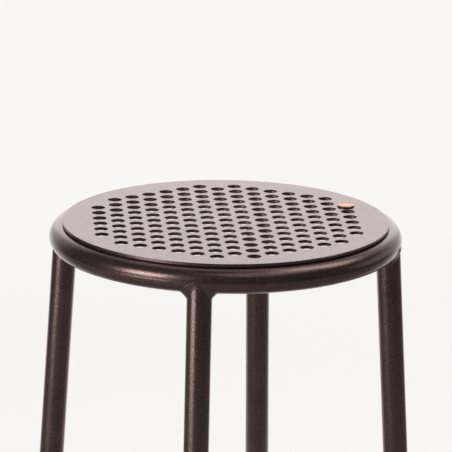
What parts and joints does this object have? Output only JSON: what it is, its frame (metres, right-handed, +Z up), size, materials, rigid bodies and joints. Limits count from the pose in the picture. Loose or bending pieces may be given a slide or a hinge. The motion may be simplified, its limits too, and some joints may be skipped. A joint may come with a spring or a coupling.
{
  "type": "stool",
  "caption": "Round metal stool: a flat punched seat disc floats over a tube ring, on splayed tube legs welded under the ring, with plastic foot glides.",
  "frame": {"origin": "on the floor, under the middle of the seat", "axes": "+Z up; the rows of holes in the seat run along X; the legs lean out about midway between the X and Y axes"},
  "size_m": [0.357, 0.357, 0.4525],
  "materials": {
    "frame_coat": "satin dark brown powder coat with fine metallic grain",
    "seat_coat": "satin dark brown powder coat with fine metallic grain",
    "weld_coat": "dark brown powder coat over weld beads",
    "foot_plastic": "matt black moulded plastic",
    "spacer_rubber": "matt black rubber",
    "fastener_steel": "zinc plated steel",
    "badge_copper": "satin copper-coloured metal",
    "badge_collar_coat": "dark brown lacquer",
    "clip_steel": "spring steel"
  },
  "bodies": {
    "root": {"seat_panel": "seat_coat", "seat_ring": "frame_coat", "seat_gasket": "spacer_rubber", "leg_back_right": "frame_coat", "leg_back_left": "frame_coat", "leg_front_left": "frame_coat", "leg_front_right": "frame_coat", "leg_weld_back_right": "weld_coat", "leg_weld_back_left": "weld_coat", "leg_weld_front_left": "weld_coat", "leg_weld_front_right": "weld_coat", "foot_glide_back_right": "foot_plastic", "foot_glide_back_left": "foot_plastic", "foot_glide_front_left": "foot_plastic", "foot_glide_front_right": "foot_plastic", "fixing_tab_1": "frame_coat", "fixing_tab_2": "frame_coat", "fixing_tab_3": "frame_coat", "fixing_tab_4": "frame_coat", "fixing_tab_5": "frame_coat", "fixing_tab_6": "frame_coat", "tab_weld_beads": "weld_coat", "panel_studs": "fastener_steel", "panel_spacers": "spacer_rubber", "stud_washers": "fastener_steel", "stud_lock_nuts": "fastener_steel", "badge_collar": "badge_collar_coat", "badge_face": "badge_copper", "badge_clip": "clip_steel"}
  },
  "joints": []
}
